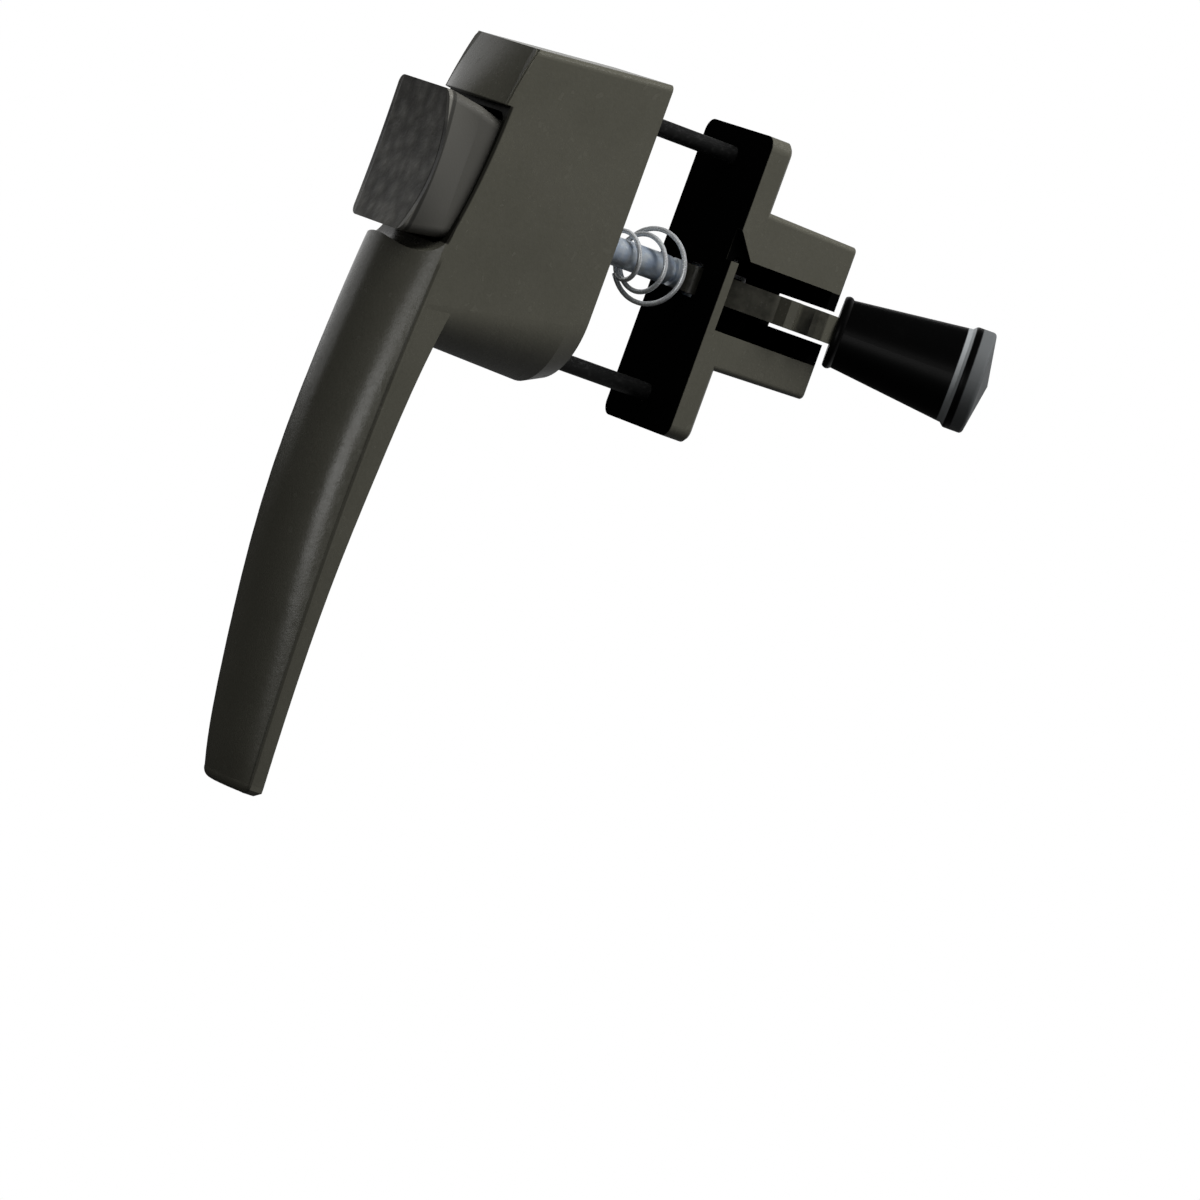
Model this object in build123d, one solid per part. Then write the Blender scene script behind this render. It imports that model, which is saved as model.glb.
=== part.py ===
from build123d import *
from math import cos, pi, sin
import os

# A push-button screen door latch, as it sits on a door. Millimetres, Z up.
# X runs across the door towards the jamb, Y from the outside of the door to the room.
# The origin lies on the door's outside face, midway between the two mounting screws.

# Door and mounting screws
door_thickness = 22.0
screw_spacing = 44.45
screw_radius = 1.6
screw_reach = 13.0
screw_head_radius = 3.3
screw_head_height = 2.0
screw_slot_width = 0.9
screw_slot_depth = 1.0
screw_fit = 0.04
clearance_hole_fit = 0.25

# Height of the button's spindle, the lever and the knob
mechanism_height = -0.8

# Housing of the outside handle
head_width = 25.0
head_top = 29.6
head_bottom = -28.1
head_rear_bottom = -26.4
head_rear_round = 3.6
head_top_slope = 0.087
head_bottom_rise = 1.0
head_side_draft = 0.4
head_wall = 2.2
head_bottom_radius = 12.2
head_front_bottom_radius = 6.0
head_top_radius = 1.2
head_loft_depth = 34.0
cavity_depth = 12.0
boss_radius = 4.3
tapped_depth = 18.0
guide_wall = 3.0

# Pull: sections down its length, each with its height, half width, depth of its
# side edge, crown in front of that edge, and depth of its back
pull_bottom = -111.2
pull_tip_radius = 1.8
pull_sections = [
    (33.0, 12.1, 25.0, 1.8, 20.0),
    (17.0, 12.5, 29.2, 2.6, 20.0),
    (-12.0, 12.5, 31.0, 7.7, 24.0),
    (-30.0, 12.4, 31.5, 8.6, 27.2),
    (-50.0, 12.0, 31.9, 8.9, 28.5),
    (-70.0, 11.3, 31.8, 8.1, 29.0),
    (-90.0, 10.2, 30.8, 6.6, 28.3),
    (pull_bottom + pull_tip_radius, 8.7, 29.3, 4.2, 26.7),
]
pull_straight_rows = 3
pull_rim_share = 0.1
pull_lip = 0.4
pull_overlap = 0.5
tip_steps = 4
pull_back_top = -10.0
pull_shell = 2.6
channel_top = -36.0
channel_bottom = -103.0
channel_depth_past_back = 2.0
channel_taper = 0.92

# Thumb button and the pocket that it slides in
button_travel = 4.2
button_centre = 2.6
button_face_height = 25.8
button_face_width = 24.6
button_end_width = 19.8
button_face_depth = 39.8
button_dish = 1.4
button_corner = 2.4
button_rim = 1.6
button_shoulder_height = 24.0
button_shoulder_length = 7.3
button_neck_height = 21.8
button_neck_width = 21.8
button_neck_corner = 2.0
button_neck_length = 11.3
button_wall = 1.8
button_boss_radius = 4.4
button_socket_depth = 12.0
button_side_fit = 0.3
button_stop_gap = 0.3
pocket_top = 16.4
pocket_roof_slope = 0.15
pocket_floor_top = 28.7
pocket_floor_middle = 30.0
pocket_floor_bottom = 31.7
pocket_floor_foot = -9.7
scoop_low = -12.6
scoop_low_depth = 35.6
scoop_lip = -11.0
scoop_lip_depth = 39.4

# Spindle, its ring and washer
spindle_radius = 2.6
spindle_fit = 0.06
spindle_end_groove_radius = 1.8
spindle_end_groove_width = 1.0
spindle_end_disc = 1.6
spindle_nose_chamfer = 0.3
ring_groove_radius = 2.0
ring_thickness = 0.8
ring_radius = 4.9
ring_fit = 0.05
ring_opening = 3.4
washer_radius = 6.0
washer_thickness = 0.8
washer_fit = 0.1
stack_gap = 0.05
heel_gap = 0.3

# Cone spring round the spindle, slack as it is off the door: the radius, distance from
# its seat and sideways tilt in degrees that it has reached after each turn
spring_wire = 0.9
spring_loops = [
    (3.35, 0.0, 0.0),
    (3.35, 1.0, 0.0),
    (3.4, 6.2, 0.0),
    (3.6, 12.4, 3.0),
    (4.1, 18.7, 10.0),
    (5.0, 22.6, 22.0),
    (6.9, 24.0, 33.0),
    (8.2, 24.4, 35.0),
]
spring_last_turn = 0.42
spring_steps = 12
spring_seat_gap = 0.02

# Inside case
flange_width = 25.6
flange_height = 55.8
flange_drop = 0.5
flange_thickness = 4.5
flange_corner = 2.4
flange_edge = 0.5
case_height = 29.6
case_end_height = 28.4
case_end_width = 25.2
case_depth = 23.4
case_corner = 1.0
case_side_wall = 2.0
case_roof = 2.0
web_thickness = 1.7
window_height = 13.4
window_drop = 0.4
window_notch_rise = 5.2
window_notch_depth = 4.6
roof_land = 4.2
roof_slot_height = 6.2
heel_slot_height = 6.2
heel_slot_side = 1.3
heel_slot_corner = 1.0

# Latch lever
pivot_arm = 7.4
pivot_depth = 4.6
pivot_radius = 1.25
pivot_fit = 0.05
pivot_end_inset = 0.4
hub_radius = 2.7
lever_lean = 28.5
lever_thickness = 5.0
lever_stop_gap = 0.3
lever_edge = 15.0
lever_inner_edge = 0.6
lever_inner_start = 9.0
lever_shoulder = 5.4
lever_nose = 2.0
lever_nose_start = 16.1
lever_nose_width = 3.5
strike_notch_width = 3.5
strike_notch_depth = 2.6
heel_radius = 3.2
heel_reach = 6.3
lever_corner = 0.5
stud_radius = 2.4
stud_length = 15.0

# Knob
knob_offset = 6.0
knob_start = 27.0
knob_neck_radius = 6.3
knob_bead_radius = 6.7
knob_bead_width = 1.6
knob_cone_length = 21.5
knob_cone_end_radius = 8.75
knob_rim_radius = 9.4
knob_rim_width = 4.2
knob_rim_round = 0.7
knob_tip_height = 1.6
stud_fit = 0.04

# Torsion spring on the pivot pin
lever_spring_wire = 0.7
lever_spring_radius = 2.35
lever_spring_turns = 3
lever_spring_pitch = 0.78
lever_spring_leg = 9.0
lever_spring_lift = 0.3
lever_spring_elbow = 1.03
lever_spring_hook = 1.8
lever_spring_hole_fit = 0.15

# Places that follow from the sizes above
screw_heights = {"upper": screw_spacing / 2, "lower": -screw_spacing / 2}
flange_face = door_thickness
room_face = flange_face + case_depth
pivot_x = -pivot_arm
pivot_y = flange_face + pivot_depth
heel_y = pivot_y - heel_reach
guide_back = -cavity_depth
guide_front = guide_back - guide_wall
button_back = guide_front - button_travel - button_stop_gap
web_inside = flange_face + web_thickness
lever_bottom = web_inside + lever_stop_gap
ring_back = guide_back + stack_gap + ring_thickness
washer_back = ring_back + stack_gap + washer_thickness
spring_start = washer_back + spring_wire / 2 + spring_seat_gap
button_shoulder = button_face_depth - button_shoulder_length
button_neck = button_face_depth - button_neck_length
window_middle = mechanism_height - window_drop
window_top = window_middle + window_height / 2
over = 1.0
far = 200.0


def at_depth(y):
    """A sketch plane across the door at depth y, with its own Y up."""
    return Plane.XZ.offset(-y)


def slab(profile, y_from, y_to):
    """A profile drawn in X and Z, carried from one depth to another."""
    return extrude(at_depth(y_to) * profile, amount=y_to - y_from)


def rod(radius, y_from, y_to, x=0.0, z=0.0):
    """A round bar along Y."""
    return slab(Pos(x, z) * Circle(radius), y_from, y_to)


def side_profile(edges):
    """A face in the YZ plane from a closed run of edges drawn as (depth, height)."""
    return Plane.YZ * make_face(edges)


def across(face, half_width):
    """A face in the YZ plane carried to both sides."""
    return extrude(face, amount=half_width, both=True)


def section_face(height, half_width, edge, crown):
    """One section of the pull: a flat back, low rims and a round crown."""
    rim = crown * pull_rim_share
    left_back = (-half_width, -edge)
    right_back = (half_width, -edge)
    left_rim = (-half_width, -edge - rim)
    right_rim = (half_width, -edge - rim)
    outline = Line(left_back, right_back)
    outline += Line(right_back, right_rim)
    outline += ThreePointArc(right_rim, (0, -edge - crown), left_rim)
    outline += Line(left_rim, left_back)
    return Plane.XY.offset(height) * make_face(outline)


def pull_crown():
    """The rounded front of the handle, from the head down to the tip."""
    faces = [section_face(z, half, edge, crown) for z, half, edge, crown, back in pull_sections]
    return loft(faces) + pull_tip()


def pull_tip():
    """The rounded lower end of the crown."""
    z, half, edge, crown, back = pull_sections[-1]
    faces = []
    for step in range(tip_steps + 1):
        turn = pi / 2 * step / tip_steps
        inset = pull_tip_radius * (1 - cos(turn))
        drop = pull_tip_radius * sin(turn)
        faces.append(section_face(z - drop, half - inset, edge, crown - inset))
    return loft(faces)


def edge_line(shift):
    """The side edge of the pull, seen from the side."""
    return [(-edge + shift, z) for z, half, edge, crown, back in pull_sections]


def back_line(shift):
    """The back of the pull, seen from the side."""
    return [(-back + shift, z) for z, half, edge, crown, back in pull_sections if z < pull_back_top]


def front_outline(inset):
    """The pull seen from the front, narrowed on both sides."""
    right = [(half - inset, z) for z, half, edge, crown, back in pull_sections]
    left = [(-x, z) for x, z in right]
    outline = Spline(right)
    outline += Polyline(right[-1], (right[-1][0], pull_bottom), (left[-1][0], pull_bottom), left[-1])
    outline += Spline(left)
    outline += Line(left[0], right[0])
    return make_face(outline)


def pull_web():
    """The flat-sided back of the pull behind the crown."""
    front = edge_line(-pull_overlap)
    back = back_line(0)
    front = front[-len(back):]
    edges = Spline(front)
    edges += Polyline(front[-1], (front[-1][0], pull_bottom), (back[-1][0], pull_bottom), back[-1])
    edges += Spline(back)
    edges += Line(back[0], front[0])
    web = across(side_profile(edges), head_width) & slab(front_outline(pull_lip), -far, far)
    tip_face = web.faces().sort_by(Axis.Z)[0]
    return chamfer(tip_face.edges().sort_by(Axis.Y)[1:], pull_tip_radius / 2)


def head_profile(top, bottom, half_width, bottom_radius):
    """The housing seen along the door's normal: square top, round bottom."""
    height = top - bottom
    body = Pos(0, (top + bottom) / 2) * Rectangle(2 * half_width, height)
    low_corners = body.vertices().sort_by(Axis.Y)[:2]
    body = fillet(low_corners, bottom_radius)
    return fillet(body.vertices().sort_by(Axis.Y)[-2:], head_top_radius)


def head_block():
    """The housing, with its draft, cut to the line of the pull's side edge."""
    half = head_width / 2 - pull_lip / 2
    rear = head_profile(head_top, head_rear_bottom, half, head_bottom_radius)
    deep = head_profile(
        head_top - head_top_slope * head_rear_round,
        head_bottom,
        half,
        head_bottom_radius,
    )
    front = head_profile(
        head_top - head_top_slope * head_loft_depth,
        head_bottom + head_bottom_rise,
        half - head_side_draft / 2,
        head_front_bottom_radius,
    )
    sections = [at_depth(0) * rear, at_depth(-head_rear_round) * deep, at_depth(-head_loft_depth) * front]
    block = loft(sections, ruled=True)
    line = edge_line(-pull_overlap)
    edges = Spline(line)
    edges += Polyline(line[-1], (far, line[-1][1]), (far, line[0][1]), line[0])
    return block & across(side_profile(edges), head_width)


def pull_channel():
    """The hollow that lightens the back of the pull."""
    faces = []
    for z, half, edge, crown, back in pull_sections[pull_straight_rows:]:
        open_half = half - pull_shell
        shoulder = open_half * channel_taper
        mouth = channel_depth_past_back - back
        front = pull_shell - edge - crown
        outline = Polyline((-shoulder, -edge), (-open_half, mouth), (open_half, mouth), (shoulder, -edge))
        outline += ThreePointArc((shoulder, -edge), (0, front), (-shoulder, -edge))
        faces.append(Plane.XY.offset(z) * make_face(outline))
    length = channel_top - channel_bottom
    window = Pos(0, -edge_middle(), (channel_top + channel_bottom) / 2) * Box(far, far, length)
    return loft(faces) & window


def edge_middle():
    """Depth of the pull's side edge at its middle section."""
    return pull_sections[len(pull_sections) // 2][2]


def saddle_cut():
    """The cut across the head's front that the button's face stands in, scooped below it."""
    top = (-pocket_floor_top, pocket_top)
    foot = (-pocket_floor_bottom, pocket_floor_foot)
    lip = (-scoop_lip_depth, scoop_lip)
    roof_end = pocket_top - pocket_roof_slope * (far - pocket_floor_top)
    edges = ThreePointArc(top, (-pocket_floor_middle, 0), foot)
    edges += ThreePointArc(foot, (-scoop_low_depth, scoop_low), lip)
    edges += Polyline(lip, (-far, scoop_lip), (-far, roof_end), top)
    return across(side_profile(edges), head_width)


def button_pocket():
    """The well that the button's body slides in, with a mouth flared to take its head."""
    opening = neck_outline(-button_side_fit)
    face = at_depth(button_travel - button_face_depth + button_rim) * button_outline(button_side_fit)
    shoulder = at_depth(button_travel - button_shoulder) * shoulder_outline(button_side_fit)
    neck = at_depth(button_travel - button_neck) * opening
    return slab(opening, -far, guide_front) + loft([face, shoulder]) + loft([shoulder, neck])


def outside_handle():
    """The outside casting: housing and pull in one piece."""
    body = head_block() + pull_web() + pull_crown()
    slope_drop = head_top_slope * far
    above = Polyline((0, head_top), (0, far), (-far, far), (-far, head_top - slope_drop), (0, head_top))
    body -= across(side_profile(above), far)
    body -= saddle_cut()
    body -= button_pocket()

    inner = head_profile(
        head_top - head_wall,
        head_rear_bottom + head_wall,
        head_width / 2 - head_wall,
        head_bottom_radius - head_wall,
    )
    cavity = slab(inner, -cavity_depth, far)
    for height in screw_heights.values():
        cavity -= rod(boss_radius, -cavity_depth, far, z=height)
    body -= cavity & slab(Rectangle(far, far), -cavity_depth, over)
    for height in screw_heights.values():
        body -= rod(screw_radius + screw_fit, -tapped_depth, over, z=height)
    body -= rod(spindle_radius + spindle_fit, guide_front - over, guide_back + over, z=mechanism_height)
    return body - pull_channel()


def button_outline(room=0.0):
    """The button's face from the front, with room round it: straight ends, swelling sides."""
    half_height = button_face_height / 2 + room
    half_end = button_end_width / 2 + room
    half_face = button_face_width / 2 + room
    outline = Line((-half_end, half_height), (half_end, half_height))
    outline += ThreePointArc((half_end, half_height), (half_face, 0), (half_end, -half_height))
    outline += Line((half_end, -half_height), (-half_end, -half_height))
    outline += ThreePointArc((-half_end, -half_height), (-half_face, 0), (-half_end, half_height))
    face = make_face(outline)
    return Pos(0, button_centre) * fillet(face.vertices(), button_corner + room)


def neck_outline(inset=0.0):
    """The button's sliding body from the front."""
    return Pos(0, button_centre) * RectangleRounded(
        button_neck_width - 2 * inset,
        button_neck_height - 2 * inset,
        button_neck_corner - inset / 2,
    )


def shoulder_outline(room=0.0):
    """The button from the front where its sides become straight."""
    return Pos(0, button_centre) * RectangleRounded(
        button_neck_width + 2 * room,
        button_shoulder_height + 2 * room,
        button_neck_corner + room / 2,
    )


def push_button():
    """The thumb button: dished face, flared head, hollow sliding body."""
    rim_back = -button_face_depth + button_rim
    rim = slab(button_outline(), -button_face_depth, rim_back)
    shoulder = at_depth(-button_shoulder) * shoulder_outline()
    flare = loft([at_depth(rim_back) * button_outline(), shoulder])
    flare += loft([shoulder, at_depth(-button_neck) * neck_outline()])
    body = rim + flare + slab(neck_outline(), -button_neck, button_back)

    half_height = button_face_height / 2
    low = (-button_face_depth, button_centre - half_height)
    deep = (-button_face_depth + button_dish, button_centre)
    high = (-button_face_depth, button_centre + half_height)
    dish = ThreePointArc(low, deep, high)
    dish += Polyline(high, (-far, high[1]), (-far, low[1]), low)
    body -= across(side_profile(dish), head_width)

    core = slab(neck_outline(button_wall), -button_neck, over)
    core -= rod(button_boss_radius, -button_neck - over, 2 * over, z=mechanism_height)
    body -= core
    socket_end = button_back - button_socket_depth
    return body - rod(spindle_radius + spindle_fit, socket_end, over, z=mechanism_height)


def spindle():
    """The rod from the button to the lever, grooved for its ring and at its end."""
    end = heel_y - heel_gap
    start = button_back - button_socket_depth + spindle_fit
    body = rod(spindle_radius, start, end, z=mechanism_height)
    tip_edges = body.edges().sort_by(Axis.Y)
    body = chamfer([tip_edges[0], tip_edges[-1]], spindle_nose_chamfer)
    groove_start = guide_back + stack_gap - ring_fit
    groove_end = ring_back + ring_fit
    ring_groove = rod(far, groove_start, groove_end, z=mechanism_height)
    ring_groove -= rod(ring_groove_radius, groove_start - over, groove_end + over, z=mechanism_height)
    disc_front = end - spindle_end_disc
    end_groove = rod(far, disc_front - spindle_end_groove_width, disc_front, z=mechanism_height)
    end_groove -= rod(spindle_end_groove_radius, disc_front - far, disc_front + over, z=mechanism_height)
    return body - ring_groove - end_groove


def retaining_ring():
    """An open ring snapped into the spindle's groove behind the guide wall."""
    front = guide_back + stack_gap
    ring = rod(ring_radius, front, ring_back, z=mechanism_height)
    ring -= rod(ring_groove_radius + ring_fit, front - over, ring_back + over, z=mechanism_height)
    mouth = Pos(0, mechanism_height - ring_radius) * Rectangle(ring_opening, 2 * ring_radius)
    return ring - slab(mouth, front - over, ring_back + over)


def spring_washer():
    """The flat washer under the small end of the cone spring."""
    front = ring_back + stack_gap
    hole = spindle_radius + washer_fit
    washer = rod(washer_radius, front, washer_back, z=mechanism_height)
    return washer - rod(hole, front - over, washer_back + over, z=mechanism_height)


def spring_point(turn):
    """The middle of the cone spring's wire after that many turns."""
    whole = min(int(turn), len(spring_loops) - 2)
    share = turn - whole
    before, after = spring_loops[whole], spring_loops[whole + 1]
    radius, reach, tilt = [a + (b - a) * share for a, b in zip(before, after)]
    sideways = radius * cos(2 * pi * turn)
    height = mechanism_height - radius * sin(2 * pi * turn)
    lean_angle = tilt * pi / 180
    return (sideways * cos(lean_angle), spring_start + reach + sideways * sin(lean_angle), height)


def spindle_spring():
    """The cone spring: a closed turn on the washer, then wider turns that tilt outwards."""
    steps = int((len(spring_loops) - 2 + spring_last_turn) * spring_steps)
    path = Spline([spring_point(step / spring_steps) for step in range(steps + 1)])
    return sweep(Plane(origin=path @ 0, z_dir=path % 0) * Circle(spring_wire / 2), path)


def mounting_screw(height):
    """A slotted machine screw from the flange, through the door, into the housing."""
    seat = flange_face + flange_thickness
    shank = rod(screw_radius, -screw_reach, seat, z=height)
    head = rod(screw_head_radius, seat, seat + screw_head_height, z=height)
    head = fillet(head.edges().sort_by(Axis.Y)[-1], screw_head_height / 2)
    slot = Pos(0, height) * Rectangle(2 * screw_head_radius + over, screw_slot_width)
    top = seat + screw_head_height
    return shank + head - slab(slot, top - screw_slot_depth, top + over)


def inside_case():
    """The inside casting: flange plate, raised box, window and lever pocket."""
    seat = flange_face + flange_thickness
    outline = Pos(0, -flange_drop) * RectangleRounded(flange_width, flange_height, flange_corner)
    plate = slab(outline, flange_face, seat)
    plate = chamfer(plate.faces().sort_by(Axis.Y)[-1].edges(), flange_edge)
    low = RectangleRounded(flange_width, case_height, case_corner)
    high = RectangleRounded(case_end_width, case_end_height, case_corner)
    box = loft([at_depth(flange_face + flange_edge) * low, at_depth(room_face) * high])
    body = plate + fillet(box.faces().sort_by(Axis.Y)[-1].edges(), case_corner / 2)

    wall_x = -flange_width / 2 + case_side_wall
    roof_y = room_face - case_roof
    pocket = Pos((wall_x + far) / 2, window_middle) * Rectangle(far - wall_x, window_height)
    body -= slab(pocket, web_inside, roof_y)
    slot_x = -flange_width / 2 + roof_land
    roof_slot = Pos((slot_x + far) / 2, mechanism_height) * Rectangle(far - slot_x, roof_slot_height)
    body -= slab(roof_slot, roof_y - over, far)

    notch = Polyline(
        (flange_face - over, window_top - over),
        (flange_face - over, window_top + window_notch_rise + over),
        (flange_face + window_notch_depth, window_top - over),
        (flange_face - over, window_top - over),
    )
    side_wall = Pos(flange_width / 2, 0, 0) * Box(2 * case_side_wall, far, far)
    body -= across(side_profile(notch), far) & side_wall

    slot_left = heel_radius + heel_slot_side / 2
    slot_right = heel_radius + heel_slot_side
    heel_slot = Pos((slot_right - slot_left) / 2, mechanism_height) * RectangleRounded(
        slot_left + slot_right, heel_slot_height, heel_slot_corner
    )
    body -= slab(heel_slot, flange_face - over, web_inside + over)
    for height in screw_heights.values():
        body -= rod(screw_radius + clearance_hole_fit, flange_face - over, seat + over, z=height)
    pin_hole = Pos(pivot_x, pivot_y, 0) * Cylinder(pivot_radius + pivot_fit / 2, far)
    return body - pin_hole


def lean(shape):
    """Turns a shape drawn about the pivot to the lever's resting angle."""
    return Pos(pivot_x, pivot_y, mechanism_height) * Rot(0, 0, -lever_lean) * shape


def latch_lever():
    """The lever: hub, plate with its nose and strike notch, heel, shoulder and stud."""
    nose_end = lever_nose_start + lever_nose_width
    notch_end = nose_end + strike_notch_width
    outline = Polyline(
        (-hub_radius, 0),
        (-hub_radius, -far),
        (lever_edge, -far),
        (lever_edge, lever_nose_start),
        (lever_edge + lever_nose, lever_nose_start + lever_nose),
        (lever_edge + lever_nose, nose_end),
        (lever_edge - strike_notch_depth, nose_end + lever_corner),
        (lever_edge - strike_notch_depth, notch_end),
        (lever_edge, notch_end - lever_corner),
        (lever_edge, notch_end + lever_corner),
        (knob_offset + lever_shoulder, knob_start),
        (knob_offset - lever_shoulder, knob_start),
        (lever_inner_edge, lever_inner_start),
        (-hub_radius, 0),
    )
    plate = lean(Pos(0, 0, -lever_thickness / 2) * extrude(make_face(outline), lever_thickness))
    keep = Pos(far / 2 + pivot_x, far / 2 + lever_bottom, 0) * Box(far, far, far)
    hub = Pos(pivot_x, pivot_y, mechanism_height) * Cylinder(hub_radius, lever_thickness)
    heel_centre = heel_y + heel_radius
    heel = Pos(0, heel_centre, mechanism_height) * Cylinder(heel_radius, lever_thickness)
    neck_length = lever_bottom + heel_radius - heel_centre
    neck = Pos(0, heel_centre + neck_length / 2, mechanism_height) * Box(
        2 * heel_radius, neck_length, lever_thickness
    )
    body = (plate & keep) + hub + heel + neck

    stud = Pos(knob_offset, knob_start + (stud_length - over) / 2, 0) * Rot(90, 0, 0) * Cylinder(
        stud_radius, stud_length + over
    )
    body += lean(stud)
    pin_hole = Pos(pivot_x, pivot_y, 0) * Cylinder(pivot_radius + pivot_fit, far)
    hook_hole = Pos(lever_spring_radius, lever_spring_leg, 0) * Cylinder(
        lever_spring_wire / 2 + lever_spring_hole_fit, far
    )
    return body - pin_hole - lean(hook_hole)


def pivot_pin():
    """The plain pin that the lever turns on, pressed through the case."""
    length = case_height - 2 * pivot_end_inset
    return Pos(pivot_x, pivot_y, 0) * Cylinder(pivot_radius, length)


def lever_spring():
    """The torsion spring over the lever: a leg on the case wall, a leg in the lever."""
    wire = lever_spring_wire / 2
    base = mechanism_height + lever_thickness / 2 + lever_spring_lift + wire
    height = lever_spring_pitch * (lever_spring_turns + 0.5 - lever_lean / 360)
    path = Helix(lever_spring_pitch, height, lever_spring_radius, (0, 0, 0), (0, 0, 1), 0, True)
    body = sweep(Plane(origin=path @ 0, z_dir=path % 0) * Circle(wire), path)
    leg = Pos(0, lever_spring_leg / 2, 0) * Rot(90, 0, 0) * Cylinder(wire, lever_spring_leg)
    elbow = Sphere(wire * lever_spring_elbow)
    upper_leg = Pos(-lever_spring_radius, 0, height) * (leg + elbow)
    lower_leg = Pos(lever_spring_radius, 0, 0) * (leg + elbow)
    hook_length = lever_spring_hook + lever_spring_lift
    hook = Pos(lever_spring_radius, lever_spring_leg, -hook_length / 2) * Cylinder(wire, hook_length)
    bend = Pos(lever_spring_radius, lever_spring_leg, 0) * elbow
    turned = Rot(0, 0, -lever_lean) * (body + lower_leg + hook + bend)
    return Pos(pivot_x, pivot_y, base) * (turned + upper_leg)


def knob():
    """The flared knob: bead, cone, rim and a low domed end."""
    cone_start = knob_start + knob_bead_width
    cone_end = cone_start + knob_cone_length
    rim_end = cone_end + knob_rim_width
    neck = (knob_neck_radius, knob_start)
    bead = (knob_bead_radius, knob_start + knob_bead_width / 2)
    profile = Polyline((0, rim_end + knob_tip_height), (0, knob_start), neck)
    profile += ThreePointArc(neck, bead, (knob_neck_radius, cone_start))
    profile += Polyline(
        (knob_neck_radius, cone_start),
        (knob_cone_end_radius, cone_end),
        (knob_rim_radius, cone_end + knob_rim_round),
        (knob_rim_radius, rim_end),
        (0, rim_end + knob_tip_height),
    )
    turned = make_face(profile)
    rim_corners = turned.vertices().sort_by(Axis.X)[-2:]
    body = revolve(fillet(rim_corners, knob_rim_round), Axis.Y)
    bore = Pos(0, knob_start + stud_length / 2, 0) * Rot(90, 0, 0) * Cylinder(
        stud_radius + stud_fit, stud_length + over
    )
    return lean(Pos(knob_offset, 0, 0) * (body - bore))


def save(shape, name):
    export_step(shape, f"parts/{name}.step")


os.makedirs("parts", exist_ok=True)
save(outside_handle(), "outside_handle")
save(push_button(), "push_button")
save(spindle(), "spindle")
save(retaining_ring(), "retaining_ring")
save(spring_washer(), "spring_washer")
save(spindle_spring(), "spindle_spring")
save(mounting_screw(screw_heights["upper"]), "upper_mounting_screw")
save(mounting_screw(screw_heights["lower"]), "lower_mounting_screw")
save(inside_case(), "inside_case")
save(latch_lever(), "latch_lever")
save(pivot_pin(), "pivot_pin")
save(lever_spring(), "lever_spring")
save(knob(), "knob")
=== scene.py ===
import math

import bmesh
import bpy
from mathutils import Matrix, Vector


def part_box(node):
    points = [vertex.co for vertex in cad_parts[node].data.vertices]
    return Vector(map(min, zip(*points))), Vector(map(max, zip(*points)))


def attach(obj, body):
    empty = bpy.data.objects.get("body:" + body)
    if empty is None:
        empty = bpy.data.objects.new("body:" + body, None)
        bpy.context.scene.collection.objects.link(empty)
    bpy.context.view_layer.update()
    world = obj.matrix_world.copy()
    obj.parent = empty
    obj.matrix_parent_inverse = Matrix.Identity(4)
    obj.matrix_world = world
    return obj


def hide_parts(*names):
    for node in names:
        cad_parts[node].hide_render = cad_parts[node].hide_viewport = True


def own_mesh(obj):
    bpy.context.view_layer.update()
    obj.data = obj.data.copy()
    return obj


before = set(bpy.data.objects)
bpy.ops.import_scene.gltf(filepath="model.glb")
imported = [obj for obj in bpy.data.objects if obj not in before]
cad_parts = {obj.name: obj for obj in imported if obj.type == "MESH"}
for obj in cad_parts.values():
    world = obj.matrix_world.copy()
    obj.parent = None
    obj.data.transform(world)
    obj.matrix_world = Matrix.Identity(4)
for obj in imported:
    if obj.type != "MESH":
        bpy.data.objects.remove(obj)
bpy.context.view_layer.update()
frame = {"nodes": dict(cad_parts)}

bl_info = {
    "name": "Screen door latch",
    "version": (1, 0, 0),
    "blender": (4, 5, 0),
    "location": "3D View > Sidebar > Latch",
    "description": "Finishes the castings of a push-button door latch and winds its cone spring",
    "category": "Object",
}

MM = 0.001

# Places that the finishes follow, in millimetres. Depth is in front of the door's outside face, reach is
# behind it, and height is from the middle of the drilling.

# The painted shade line at the step along the pull's side edge, deepest at its middle
SHADE_LINE_DEPTH = 32.7
SHADE_LINE_MIDDLE = -50
SHADE_LINE_CURVE = 0.0009
SHADE_LINE_TOP = -12

# The saddle-shaped edge of the housing beside the button, from its depth at height 0; painted shade
# darkens the crevice along it
SADDLE_DEPTH = 30.0
SADDLE_SLOPE = 0.14
SADDLE_CURVE = 0.0037

# The well that the button slides in, painted dark as shade
WELL_MIDDLE = 3.3
WELL_HALF_HEIGHT = 12.9
WELL_HALF_WIDTH = 11.5
WELL_FLOOR = 14

# The thumb button, which narrows towards its top and bottom, with the depths of its face, of the painted
# shade in its groove and of the painted highlight on its rim
BUTTON_MIDDLE = 2.6
BUTTON_HALF_HEIGHT = 12.9
BUTTON_HALF_WIDTH = 12.3
BUTTON_NARROWING = 2.4
BUTTON_FACE_DEPTH = 38.2
BUTTON_GROOVE_DEPTH = 38.4
BUTTON_RIM_DEPTH = 38.8

# The case's window, the slot that it opens in the case's roof, and the roof's thickness, which bound the
# case's painted shade
WINDOW_MIDDLE = 1.6
WINDOW_HALF_HEIGHT = 9.4
SLOT_MIDDLE = -1.2
SLOT_HALF_HEIGHT = 6.6
CASE_ROOF = 2.0

# The latch lever: the reach where its painted shade inside the case ends, and the notch beyond its nose,
# also painted dark as shade
SHADE_REACH = 32.5
NOTCH_REACH = 40.5
NOTCH_HALF_WIDTH = 1.6

# The turned rings on the spindle
RING_PITCH = 0.35

# How far the knob leans from the door's normal, in degrees, and where its rim, with its painted highlight
# ring, and its end begin along its axis
KNOB_LEAN = 28.5
KNOB_RIM = 69.8
KNOB_END = 71.6

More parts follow.
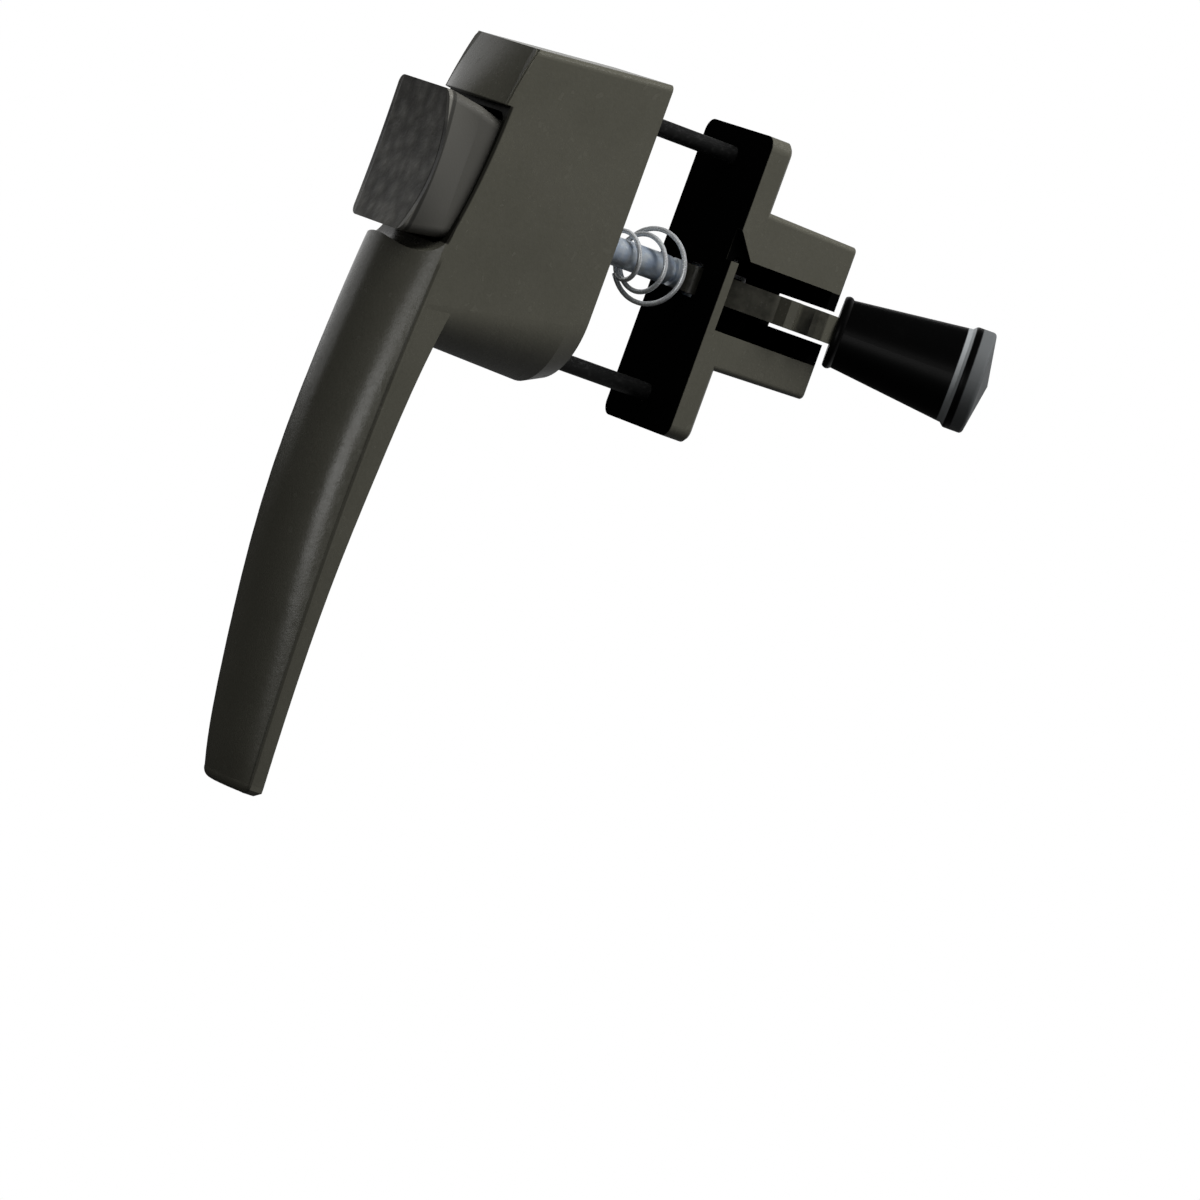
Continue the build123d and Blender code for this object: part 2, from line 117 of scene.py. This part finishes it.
# The cone spring after each turn: radius, distance from its seat and sideways tilt in degrees
SPRING_LOOPS = (
    (3.35, 0.0, 0.0),
    (3.35, 1.0, 0.0),
    (3.4, 6.2, 0.0),
    (3.6, 12.4, 3.0),
    (4.1, 18.7, 10.0),
    (5.0, 22.6, 22.0),
    (6.9, 24.0, 33.0),
    (8.2, 24.4, 35.0),
)
SPRING_TURNS = 6.42
SPRING_STEPS = 24

# Each lamp's name, bearing, elevation, distance, width and height, brightness, and whether it shows in
# mirrors and whether it lights dull surfaces. Bearing 0 is in front of the door and 90 is at +X.
LAMPS = (
    ("key_lamp", 115, 58, 0.6, (0.4, 0.4), 12.0, False, True),
    ("front_lamp", 45, -5, 1.9, (0.6, 0.5), 3.8, True, False),
    ("back_lamp", -95, 19, 1.4, (1.43, 0.54), 0.64, True, True),
    ("low_back_lamp", -84, 3.5, 1.4, (2.23, 0.24), 0.8, True, True),
    ("far_side_lamp", -115, 35, 1.2, (0.8, 0.8), 1.6, False, True),
)

# The surroundings' brightness on dull surfaces, from above and below, and in reflections, towards the
# room and elsewhere
SKY_LIGHT = 0.42
GROUND_LIGHT = 0.08
ROOM_REFLECTION = 0.35
DIM_REFLECTION = 0.012

# The photo's camera, in millimetres and degrees, with the width that it sees at its target
CAMERA_EYE = (1336.45, -705.19, -10.0)
CAMERA_TARGET = (21.18, 15.99, -58.9)
CAMERA_ROLL = 20
CAMERA_WIDTH = 209.1

# The round floor
FLOOR_RADIUS = 0.30
FLOOR_HEIGHT = -0.32


# Shader maths

class Signal:
    """A number that changes over a surface, with ordinary arithmetic."""

    def __init__(self, nodes, socket):
        self.nodes = nodes
        self.socket = socket

    def maths(self, operation, *values):
        node = self.nodes.add("ShaderNodeMath", {"operation": operation}, dict(enumerate(values)))
        return Signal(self.nodes, node.outputs[0])

    def __add__(self, other):
        return self.maths("ADD", self, other)

    __radd__ = __add__

    def __sub__(self, other):
        return self.maths("SUBTRACT", self, other)

    def __rsub__(self, other):
        return self.maths("SUBTRACT", other, self)

    def __mul__(self, other):
        return self.maths("MULTIPLY", self, other)

    __rmul__ = __mul__

    def __neg__(self):
        return self.maths("MULTIPLY", self, -1.0)

    def sine(self):
        return self.maths("SINE", self)

    def size(self):
        return self.maths("ABSOLUTE", self)

    def at_least(self, other):
        return self.maths("MAXIMUM", self, other)

    def rises(self, start, end):
        """0 before start and 1 after end, with an eased step between."""
        node = self.nodes.add(
            "ShaderNodeMapRange",
            {"interpolation_type": "SMOOTHSTEP"},
            {"Value": self, "From Min": start, "From Max": end},
        )
        return Signal(self.nodes, node.outputs["Result"])


class Nodes:
    """The nodes of a material or of the surroundings."""

    def __init__(self, owner, coordinate):
        owner.use_nodes = True
        self.tree = owner.node_tree
        self.tree.nodes.clear()
        self.place = self.add("ShaderNodeTexCoord").outputs[coordinate]

    def fill(self, socket, value):
        """Links a socket to a signal, or sets it to a plain value."""
        if isinstance(value, Signal):
            value = value.socket
        if isinstance(value, bpy.types.NodeSocket):
            self.tree.links.new(value, socket)
        else:
            socket.default_value = value

    def add(self, kind, settings=None, inputs=None):
        """A node of that kind, its settings made first and then its sockets filled."""
        node = self.tree.nodes.new(kind)
        for name, value in (settings or {}).items():
            setattr(node, name, value)
        for name, value in (inputs or {}).items():
            self.fill(node.inputs[name], value)
        return node

    def split(self):
        """The place as three numbers."""
        node = self.add("ShaderNodeSeparateXYZ", None, {"Vector": self.place})
        return [Signal(self, output) for output in node.outputs]


class Finish(Nodes):
    """One material: a principled surface and the nodes that vary it."""

    def __init__(self, name):
        self.material = bpy.data.materials.new(name)
        super().__init__(self.material, "Object")
        self.surface = self.add("ShaderNodeBsdfPrincipled")
        self.output = self.add("ShaderNodeOutputMaterial", None, {"Surface": self.surface.outputs["BSDF"]})

    def set(self, **sockets):
        """Fills the surface's sockets, with _ for a space in their names."""
        for name, value in sockets.items():
            self.fill(self.surface.inputs[name.replace("_", " ")], value)
        return self

    def cover(self, colour, share):
        """Puts a dull layer of that colour over the surface where share is 1; the latch uses it for
        painted shade.
        """
        dull = {"Base Color": (*colour, 1.0), "Roughness": 0.7, "Specular IOR Level": 0.0}
        layer = self.add("ShaderNodeBsdfPrincipled", None, dull)
        shaders = {0: share, 1: self.surface.outputs["BSDF"], 2: layer.outputs["BSDF"]}
        mix = self.add("ShaderNodeMixShader", None, shaders)
        self.fill(self.output.inputs["Surface"], mix.outputs[0])

    def axes(self):
        """The place on the piece as three numbers, in millimetres."""
        return [number * (1 / MM) for number in self.split()]

    def noise(self, grain_mm, detail=3.0, rough=0.5):
        """Cloudy noise from 0 to 1 with patches about that many millimetres across."""
        inputs = {"Vector": self.place, "Scale": 1 / (grain_mm * MM), "Detail": detail, "Roughness": rough}
        return Signal(self, self.add("ShaderNodeTexNoise", None, inputs).outputs["Fac"])

    def pebbles(self, grain_mm, smooth=0.6):
        """Rounded bumps of about that many millimetres, 0 between them."""
        inputs = {"Vector": self.place, "Scale": 1 / (grain_mm * MM), "Smoothness": smooth}
        node = self.add("ShaderNodeTexVoronoi", {"feature": "SMOOTH_F1"}, inputs)
        return 1 - Signal(self, node.outputs["Distance"])

    def blended(self, first, second, share):
        """One colour turning into another by share."""
        node = self.add("ShaderNodeMix", {"data_type": "RGBA"})
        self.fill(node.inputs[0], share)
        for index, value in ((6, first), (7, second)):
            linked = isinstance(value, bpy.types.NodeSocket)
            self.fill(node.inputs[index], value if linked else (*value, 1.0))
        return node.outputs[2]

    def relief(self, height_mm):
        """The normal of a surface raised by height_mm."""
        inputs = {"Height": height_mm * MM, "Distance": 1.0}
        return self.add("ShaderNodeBump", None, inputs).outputs["Normal"]

    def on(self, *objects):
        """Puts the finish on these objects, in place of what they had."""
        for thing in objects:
            thing.data.materials.clear()
            thing.data.materials.append(self.material)


def tinted(colour, times, plus=0.0):
    """The colour made brighter or darker."""
    return [part * times + plus for part in colour]


def within(value, middle, half, soft=0.1):
    """1 where a number lies within half of the middle."""
    return 1 - (value - middle).size().rises(half, half + soft)


# Colours and sizes that a user would change

def colour_property(name, description, value):
    """A colour, given as it looks on a screen from 0 to 255."""
    linear = [((c / 255 + 0.055) / 1.055) ** 2.4 if c > 10 else c / 255 / 12.92 for c in value]
    return bpy.props.FloatVectorProperty(
        name=name, description=description, subtype="COLOR", size=3, min=0.0, max=1.0, default=linear
    )


def length_property(name, description, millimetres):
    """A length in millimetres."""
    return bpy.props.FloatProperty(
        name=name, description=description, subtype="DISTANCE", unit="LENGTH", default=millimetres * MM
    )


class LatchColours(bpy.types.PropertyGroup):
    """The colours of the latch."""

    paint: colour_property("Paint", "Dark brown-grey paint of the castings", (72, 71, 63))
    button_paint: colour_property("Button paint", "Dark grey paint of the thumb button", (71, 70, 66))
    # Black painted as shade in the housing's hollows, on the case's mating face and window, and on the
    # lever inside the case
    painted_shade_black: colour_property("Black back", "Black of the hidden and mating faces", (5, 5, 5))
    zinc: colour_property("Zinc plate", "Bright zinc of the spindle and its rings", (205, 212, 218))
    wire: colour_property("Spring wire", "Bright wire of the springs", (225, 228, 230))
    screw_black: colour_property("Screw black", "Black oxide of the mounting screws", (24, 24, 24))
    knob_black: colour_property("Knob black", "Glossy black of the knob", (2, 2, 2))
    knob_end: colour_property("Knob end", "Duller grey of the knob's end", (80, 82, 83))
    floor: colour_property("Floor", "Pale floor", (225, 225, 225))


class LatchSizes(bpy.types.PropertyGroup):
    """The sizes of the pieces built here."""

    wire: length_property("Wire", "Thickness of the cone spring's wire", 0.9)
    travel: length_property("Travel", "How far the button goes in", 4.2)
    mechanism: length_property("Mechanism height", "Height of the spindle's axis", -0.8)
    edge: length_property("Edge", "Width of the eased edges of the castings", 0.35)


def colours():
    return bpy.context.scene.latch_colours


def sizes():
    return bpy.context.scene.latch_sizes


# Finishes

def cast_paint(name, shade):
    """Satin paint on a die casting, clouded, pebbled and dusty, with black painted shade where shade is 1.
    """
    main = colours().paint
    f = Finish(name)
    clouds = f.noise(14, 4.0, 0.55)
    mottle = f.noise(0.7, 2.0)
    peel = f.noise(0.42, 2.0)
    specks = f.noise(1.9, 1.0).rises(0.70, 0.76)
    faded = (clouds - 0.5) * 1.4 + (mottle - 0.5) * 0.7 + 0.3
    base = f.blended(main, tinted(main, 1.22, 0.002), faded)
    f.set(
        Base_Color=f.blended(base, tinted(main, 1.5, 0.01), specks * 0.16),
        Roughness=0.25 + (clouds - 0.5) * 0.10 + (mottle - 0.5) * 0.12 + specks * 0.1,
        Specular_IOR_Level=0.42,
        Normal=f.relief(peel * 0.012 + mottle * 0.010 + f.noise(5.0, 2.0) * 0.03),
    )
    # Painted shade: a dull black layer where the shade mask is 1
    f.cover(colours().painted_shade_black, shade(f))
    return f


def housing_painted_shade(f):
    """Painted shade: a dark line at the step along the pull's side edge, the crevice round the button and
    the well behind it.
    """
    x, y, z = f.axes()
    depth = -y
    from_middle = z - SHADE_LINE_MIDDLE
    edge = SHADE_LINE_DEPTH - from_middle * from_middle * SHADE_LINE_CURVE
    # Painted shade along the step at the pull's side edge
    lip_shade = within(depth - edge, 0, 0.2, 0.25) * (-z).rises(-SHADE_LINE_TOP, 2 - SHADE_LINE_TOP) * 0.45
    saddle = SADDLE_DEPTH - z * SADDLE_SLOPE + z * z * SADDLE_CURVE
    beside_button = within(z, WELL_MIDDLE, WELL_HALF_HEIGHT, 0.3)
    # Painted shade in the crevice round the button
    crevice = (depth - saddle).rises(-0.75, -0.35) * beside_button
    # Painted shade in the well behind the button
    well = within(x, 0, WELL_HALF_WIDTH) * beside_button * depth.rises(WELL_FLOOR, WELL_FLOOR + 1)
    return lip_shade.at_least(crevice * 0.85).at_least(well * 0.85)


def lever_painted_shade(f):
    """Painted shade on the latch lever: black in blotches inside the case, ending towards its nose, and in
    the notch beyond it.
    """
    reach = f.axes()[1]
    # Painted shade where the case and the notch shade the lever
    inside_case = 1 - reach.rises(SHADE_REACH, SHADE_REACH + 1.5)
    notch = within(reach, NOTCH_REACH, NOTCH_HALF_WIDTH, 0.6)
    patches = f.noise(1.6, 3.0, 0.6)
    return inside_case.at_least(notch) * (patches * 0.6 + 0.28)


def case_painted_shade(low, high):
    """Painted shade: 1 on the case's face against the door and inside its window, from the case's own box.
    """
    middle = (low + high) / (2 * MM)
    half = (high - low) / (2 * MM)
    roof_start = half.y - CASE_ROOF

    def patch(f):
        x, y, z = f.axes()
        # Painted shade on the mating face, inside the window and on the roof's edge at the slot's height
        mating = 1 - (y - low.y / MM).rises(0.02, 0.25)
        depth = within(y, middle.y, half.y - 0.15)
        inside = within(x, middle.x, half.x - 0.3) * within(z, WINDOW_MIDDLE, WINDOW_HALF_HEIGHT)
        slot = within(z, SLOT_MIDDLE, SLOT_HALF_HEIGHT)
        roof_edge = (y - middle.y).rises(roof_start - 0.1, roof_start) * slot
        return mating.at_least(depth * inside.at_least(roof_edge))

    return patch


def button_paint():
    """The button's paint: pebbled over the dished face, smooth on the sides, with painted light on the
    pebbled face, a painted highlight on the rim and painted shade in the groove.
    """
    main = colours().button_paint
    f = Finish("button_paint")
    x, y, z = f.axes()
    depth = -y
    height = (z - BUTTON_MIDDLE) * (1 / BUTTON_HALF_HEIGHT)
    from_side = BUTTON_HALF_WIDTH - height * height * BUTTON_NARROWING - x.size()
    border = 1 - from_side.rises(1.0, 1.4)
    face = depth.rises(BUTTON_FACE_DEPTH, BUTTON_FACE_DEPTH + 0.15) * (1 - border)
    # Painted highlight along the rim, and painted shade in the groove beside it
    rim = depth.rises(BUTTON_RIM_DEPTH, BUTTON_RIM_DEPTH + 0.15) * border
    groove = within(depth, BUTTON_GROOVE_DEPTH, 0.25, 0.2) * border
    grain = f.pebbles(3.0) * 0.5 + f.noise(2.4, 4.0, 0.6) * 0.5
    clouds = f.noise(6, 3.0)
    side = f.blended(main, tinted(main, 1.15), (clouds - 0.5) * 0.8 + 0.3)
    # Painted light: the pebbled face made lighter, most on the pebble tops
    pebbled = f.blended(main, tinted(main, 2.4), grain.rises(0.30, 0.85))
    base = f.blended(side, pebbled, face)
    base = f.blended(base, tinted(main, 2.0), rim)
    f.set(
        Base_Color=f.blended(base, tinted(main, 0.35), groove * 0.8),
        Roughness=0.36 + face * 0.16 + (clouds - 0.5) * 0.12,
        Specular_IOR_Level=0.45,
        Normal=f.relief(grain * face * 0.35 + f.noise(0.45, 2.0) * 0.012),
    )
    return f


def turned_zinc():
    """Bright zinc plate on turned steel, with fine rings and a faint bluish bloom."""
    main = colours().zinc
    f = Finish("spindle_zinc")
    reach = f.axes()[1]
    rings = (reach * (2 * math.pi / RING_PITCH) + f.noise(1.2, 2.0) * 3.0).sine()
    bloom = f.noise(2.4, 3.0)
    stain = f.noise(0.6, 2.0)
    cool = [main[0] * 0.66, main[1] * 0.74, main[2] * 0.88]
    f.set(
        Base_Color=f.blended(main, cool, bloom.rises(0.35, 0.7)),
        Metallic=0.65,
        Roughness=0.22 + bloom * 0.16 + stain * 0.08,
        Normal=f.relief(rings * 0.0035 + stain * 0.006),
    )
    return f


def drawn_wire(name):
    """Bright drawn spring wire with faint die lines."""
    main = colours().wire
    f = Finish(name)
    bloom = f.noise(3.0, 3.0)
    lines = f.noise(0.25, 2.0)
    f.set(
        Base_Color=f.blended(main, tinted(main, 0.72), bloom.rises(0.45, 0.75)),
        Metallic=0.55,
        Roughness=0.20 + lines * 0.12,
        Normal=f.relief(lines * 0.004),
    )
    return f


def oxide_black():
    """Black oxide on a steel screw, slightly rubbed on the thread."""
    main = colours().screw_black
    f = Finish("oxide_black")
    rub = f.noise(0.8, 3.0)
    f.set(
        Base_Color=f.blended(main, tinted(main, 2.2, 0.01), rub.rises(0.5, 0.72) * 0.6),
        Metallic=0.35,
        Roughness=0.36 + rub * 0.16,
        Normal=f.relief(f.noise(0.3, 2.0) * 0.006),
    )
    return f


def knob_gloss():
    """Glossy black knob with a soft haze, a painted highlight as a bright ring at its rim, and a duller
    grey end beyond it.
    """
    main, grey = colours().knob_black, colours().knob_end
    f = Finish("knob_gloss")
    x, y = f.axes()[:2]
    lean = math.radians(KNOB_LEAN)
    along = x * math.sin(lean) + y * math.cos(lean)
    haze = f.noise(5.0, 4.0, 0.6)
    hairs = f.noise(0.35, 2.0)
    # Painted highlight: a bright ring round the rim
    ring = within(along, KNOB_RIM, 0.55, 0.2)
    end = along.rises(KNOB_END, KNOB_END + 0.3)
    base = f.blended(main, tinted(main, 2.0), haze.rises(0.45, 0.8) * 0.4)
    base = f.blended(base, tinted(grey, 2.6), ring)
    f.set(
        Base_Color=f.blended(base, grey, end),
        Roughness=0.34 + haze * 0.08 + hairs * 0.03 + end * 0.1,
        Coat_Weight=0.18,
        Coat_Roughness=0.42,
        Specular_IOR_Level=0.1,
        Normal=f.relief(haze * 0.02 + hairs * 0.002),
    )
    return f


# Making pieces

def eased_edges(width, *objects):
    """Rounds the sharp edges of CAD nodes a little, as cast and painted edges are."""
    for thing in objects:
        ease = thing.modifiers.new("eased_edges", "BEVEL")
        ease.width = width
        ease.segments = 2
        ease.limit_method = "ANGLE"
        ease.angle_limit = math.radians(38)
        ease.harden_normals = True


def wire_mesh(name, points, thickness):
    """A round wire along a smooth curve through the points, with closed ends."""
    curve = bpy.data.curves.new(name, "CURVE")
    curve.dimensions = "3D"
    curve.bevel_depth = thickness / 2
    curve.bevel_resolution = 5
    curve.resolution_u = 4
    curve.use_fill_caps = True
    spline = curve.splines.new("NURBS")
    spline.points.add(len(points) - 1)
    for spot, point in zip(spline.points, points):
        spot.co = (*point, 1.0)
    spline.order_u = 4
    spline.use_endpoint_u = True
    holder = bpy.data.objects.new(name + "_line", curve)
    bpy.context.scene.collection.objects.link(holder)
    bpy.context.view_layer.update()
    mesh = bpy.data.meshes.new_from_object(holder.evaluated_get(bpy.context.evaluated_depsgraph_get()))
    mesh.name = name
    bpy.data.objects.remove(holder)
    bpy.data.curves.remove(curve)
    bm = bmesh.new()
    bm.from_mesh(mesh)
    bmesh.ops.remove_doubles(bm, verts=bm.verts, dist=0.002 * MM)
    bmesh.ops.recalc_face_normals(bm, faces=bm.faces)
    bm.to_mesh(mesh)
    bm.free()
    mesh.shade_smooth()
    return mesh


def spring_point(turn, seat, height):
    """The middle of the cone spring's wire after that many turns."""
    whole = min(int(turn), len(SPRING_LOOPS) - 2)
    share = turn - whole
    radius, reach, tilt = (
        a + (b - a) * share for a, b in zip(SPRING_LOOPS[whole], SPRING_LOOPS[whole + 1])
    )
    sideways = radius * MM * math.cos(2 * math.pi * turn)
    drop = radius * MM * math.sin(2 * math.pi * turn)
    lean = math.radians(tilt)
    return (sideways * math.cos(lean), seat + reach * MM + sideways * math.sin(lean), height - drop)


def add_lamp(name, bearing, elevation, distance, size, brightness, mirrored, lighting):
    """A soft rectangular lamp facing the latch, as bright as it looks in a mirror."""
    lamp = bpy.data.lights.new(name, "AREA")
    lamp.shape = "RECTANGLE"
    lamp.size, lamp.size_y = size
    lamp.energy = brightness * math.pi * size[0] * size[1]
    holder = bpy.data.objects.new(name, lamp)
    turn, rise = math.radians(bearing), math.radians(elevation)
    away = Vector((math.sin(turn) * math.cos(rise), -math.cos(turn) * math.cos(rise), math.sin(rise)))
    holder.location = away * distance
    holder.rotation_euler = away.to_track_quat("Z", "Y").to_euler()
    holder.visible_glossy = mirrored
    holder.visible_diffuse = lighting
    holder.visible_camera = False
    bpy.context.scene.collection.objects.link(holder)


def add_camera(eye, target, roll, width):
    """A camera that sees that width at the target, turned about its line of sight."""
    camera = bpy.data.cameras.new("photo_camera")
    camera.sensor_width = 36.0
    camera.lens = camera.sensor_width * (target - eye).length / width
    camera.clip_start = 0.01
    camera.clip_end = 20.0
    holder = bpy.data.objects.new("photo_camera", camera)
    ahead = (target - eye).normalized()
    right = ahead.cross(Vector((0, 0, 1))).normalized()
    up = right.cross(ahead)
    seen_right = right * math.cos(roll) + up * math.sin(roll)
    seen_up = up * math.cos(roll) - right * math.sin(roll)
    turned = Matrix((seen_right, seen_up, -ahead)).transposed().to_4x4()
    holder.matrix_world = Matrix.Translation(eye) @ turned
    bpy.context.scene.collection.objects.link(holder)
    bpy.context.scene.camera = holder


# Operators

class LatchOperator:
    """What the latch's operators share."""

    bl_options = {"REGISTER", "UNDO"}

    @classmethod
    def poll(cls, context):
        return bool(frame["nodes"])


class LATCH_OT_castings(LatchOperator, bpy.types.Operator):
    """Paints the housing with its pull, the inside case and the latch lever"""

    bl_idname = "latch.castings"
    bl_label = "Castings"

    def execute(self, context):
        nodes = frame["nodes"]
        housing, case, lever = nodes["outside_handle"], nodes["inside_case"], nodes["latch_lever"]
        cast_paint("housing_paint", housing_painted_shade).on(housing)
        cast_paint("case_paint", case_painted_shade(*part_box("inside_case"))).on(case)
        cast_paint("lever_paint", lever_painted_shade).on(lever)
        eased_edges(sizes().edge, housing, case, lever)
        return {"FINISHED"}


class LATCH_OT_button(LatchOperator, bpy.types.Operator):
    """Paints the thumb button, pebbled on its face"""

    bl_idname = "latch.button"
    bl_label = "Thumb button"

    def execute(self, context):
        button = frame["nodes"]["push_button"]
        button_paint().on(button)
        eased_edges(sizes().edge * 2, button)
        return {"FINISHED"}


class LATCH_OT_spindle(LatchOperator, bpy.types.Operator):
    """Plates the spindle, its ring, its washer and the pivot pin"""

    bl_idname = "latch.spindle"
    bl_label = "Spindle"

    def execute(self, context):
        nodes = frame["nodes"]
        plated = ("spindle", "retaining_ring", "spring_washer", "pivot_pin")
        turned_zinc().on(*(nodes[name] for name in plated))
        return {"FINISHED"}


class LATCH_OT_cone_spring(LatchOperator, bpy.types.Operator):
    """Winds the cone spring round the spindle, and brightens both springs"""

    bl_idname = "latch.cone_spring"
    bl_label = "Springs"

    def execute(self, context):
        s = sizes()
        low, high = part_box("spindle_spring")
        seat = low.y + s.wire / 2
        steps = int(SPRING_TURNS * SPRING_STEPS)
        points = [spring_point(step / SPRING_STEPS, seat, s.mechanism) for step in range(steps + 1)]
        spring = bpy.data.objects.new("cone_spring", wire_mesh("cone_spring", points, s.wire))
        context.scene.collection.objects.link(spring)
        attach(spring, "housing")
        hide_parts("spindle_spring")
        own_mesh(spring)
        drawn_wire("spring_wire").on(spring)
        drawn_wire("lever_spring_wire").on(frame["nodes"]["lever_spring"])
        return {"FINISHED"}


class LATCH_OT_screws(LatchOperator, bpy.types.Operator):
    """Blackens the two mounting screws"""

    bl_idname = "latch.screws"
    bl_label = "Mounting screws"

    def execute(self, context):
        nodes = frame["nodes"]
        oxide_black().on(nodes["upper_mounting_screw"], nodes["lower_mounting_screw"])
        return {"FINISHED"}


class LATCH_OT_knob(LatchOperator, bpy.types.Operator):
    """Gives the flared knob its gloss and its grey end"""

    bl_idname = "latch.knob"
    bl_label = "Knob"

    def execute(self, context):
        knob_gloss().on(frame["nodes"]["knob"])
        return {"FINISHED"}


class LATCH_OT_studio(LatchOperator, bpy.types.Operator):
    """Sets the pale floor, the white surroundings, the soft lamps and the camera"""

    bl_idname = "latch.studio"
    bl_label = "Studio"

    def execute(self, context):
        scene = context.scene
        scene.view_settings.view_transform = "Standard"
        self.floor(scene)
        self.surroundings(scene)
        for lamp in LAMPS:
            add_lamp(*lamp)
        eye, target = Vector(CAMERA_EYE) * MM, Vector(CAMERA_TARGET) * MM
        add_camera(eye, target, math.radians(CAMERA_ROLL), CAMERA_WIDTH * MM)
        return {"FINISHED"}

    def floor(self, scene):
        """A round floor, pale to the camera and dark to the light that bounces off it."""
        bm = bmesh.new()
        bmesh.ops.create_circle(bm, cap_ends=True, segments=96, radius=FLOOR_RADIUS)
        bmesh.ops.translate(bm, verts=bm.verts, vec=(0, 0, FLOOR_HEIGHT))
        mesh = bpy.data.meshes.new("studio_floor")
        bm.to_mesh(mesh)
        bm.free()
        floor = bpy.data.objects.new("studio_floor", mesh)
        floor.visible_glossy = False
        scene.collection.objects.link(floor)
        pale = Finish("floor_pale")
        main = colours().floor
        seen = pale.add("ShaderNodeLightPath").outputs["Is Camera Ray"]
        cloudy = pale.blended(main, tinted(main, 0.97), pale.noise(60, 2.0))
        pale.set(Base_Color=pale.blended(tinted(main, 0.1), cloudy, seen), Roughness=0.85).on(floor)

    def surroundings(self, scene):
        """White where the camera looks, dim in reflections, and soft from above on everything else."""
        world = bpy.data.worlds.new("studio_white")
        scene.world = world
        w = Nodes(world, "Generated")
        path = w.add("ShaderNodeLightPath")
        north, height = w.split()[1:]
        sky = height.rises(-0.1, 0.3) * SKY_LIGHT + GROUND_LIGHT
        reflection = north.rises(0.35, 0.75) * ROOM_REFLECTION + DIM_REFLECTION

        def glow(strength):
            inputs = {"Color": (1, 1, 1, 1), "Strength": strength}
            return w.add("ShaderNodeBackground", None, inputs).outputs[0]

        surface = glow(sky)
        for ray, strength in (("Is Glossy Ray", reflection), ("Is Camera Ray", 1.0)):
            shaders = {0: path.outputs[ray], 1: surface, 2: glow(strength)}
            surface = w.add("ShaderNodeMixShader", None, shaders).outputs[0]
        w.add("ShaderNodeOutputWorld", None, {"Surface": surface})


OPERATORS = (
    LATCH_OT_castings,
    LATCH_OT_button,
    LATCH_OT_spindle,
    LATCH_OT_cone_spring,
    LATCH_OT_screws,
    LATCH_OT_knob,
    LATCH_OT_studio,
)


class LATCH_PT_pieces(bpy.types.Panel):
    """Lists the steps that dress the latch"""

    bl_idname = "LATCH_PT_pieces"
    bl_label = "Latch"
    bl_space_type = "VIEW_3D"
    bl_region_type = "UI"
    bl_category = "Latch"

    def draw(self, context):
        for operator in OPERATORS:
            self.layout.operator(operator.bl_idname)


CLASSES = (LatchColours, LatchSizes, *OPERATORS, LATCH_PT_pieces)


def register():
    for cls in CLASSES:
        bpy.utils.register_class(cls)
    bpy.types.Scene.latch_colours = bpy.props.PointerProperty(type=LatchColours)
    bpy.types.Scene.latch_sizes = bpy.props.PointerProperty(type=LatchSizes)


def unregister():
    del bpy.types.Scene.latch_sizes
    del bpy.types.Scene.latch_colours
    for cls in reversed(CLASSES):
        bpy.utils.unregister_class(cls)


def main():
    register()
    bpy.ops.latch.castings()
    bpy.ops.latch.button()
    bpy.ops.latch.spindle()
    bpy.ops.latch.cone_spring()
    bpy.ops.latch.screws()
    bpy.ops.latch.knob()
    bpy.ops.latch.studio()
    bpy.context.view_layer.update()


if __name__ == "__main__":
    main()
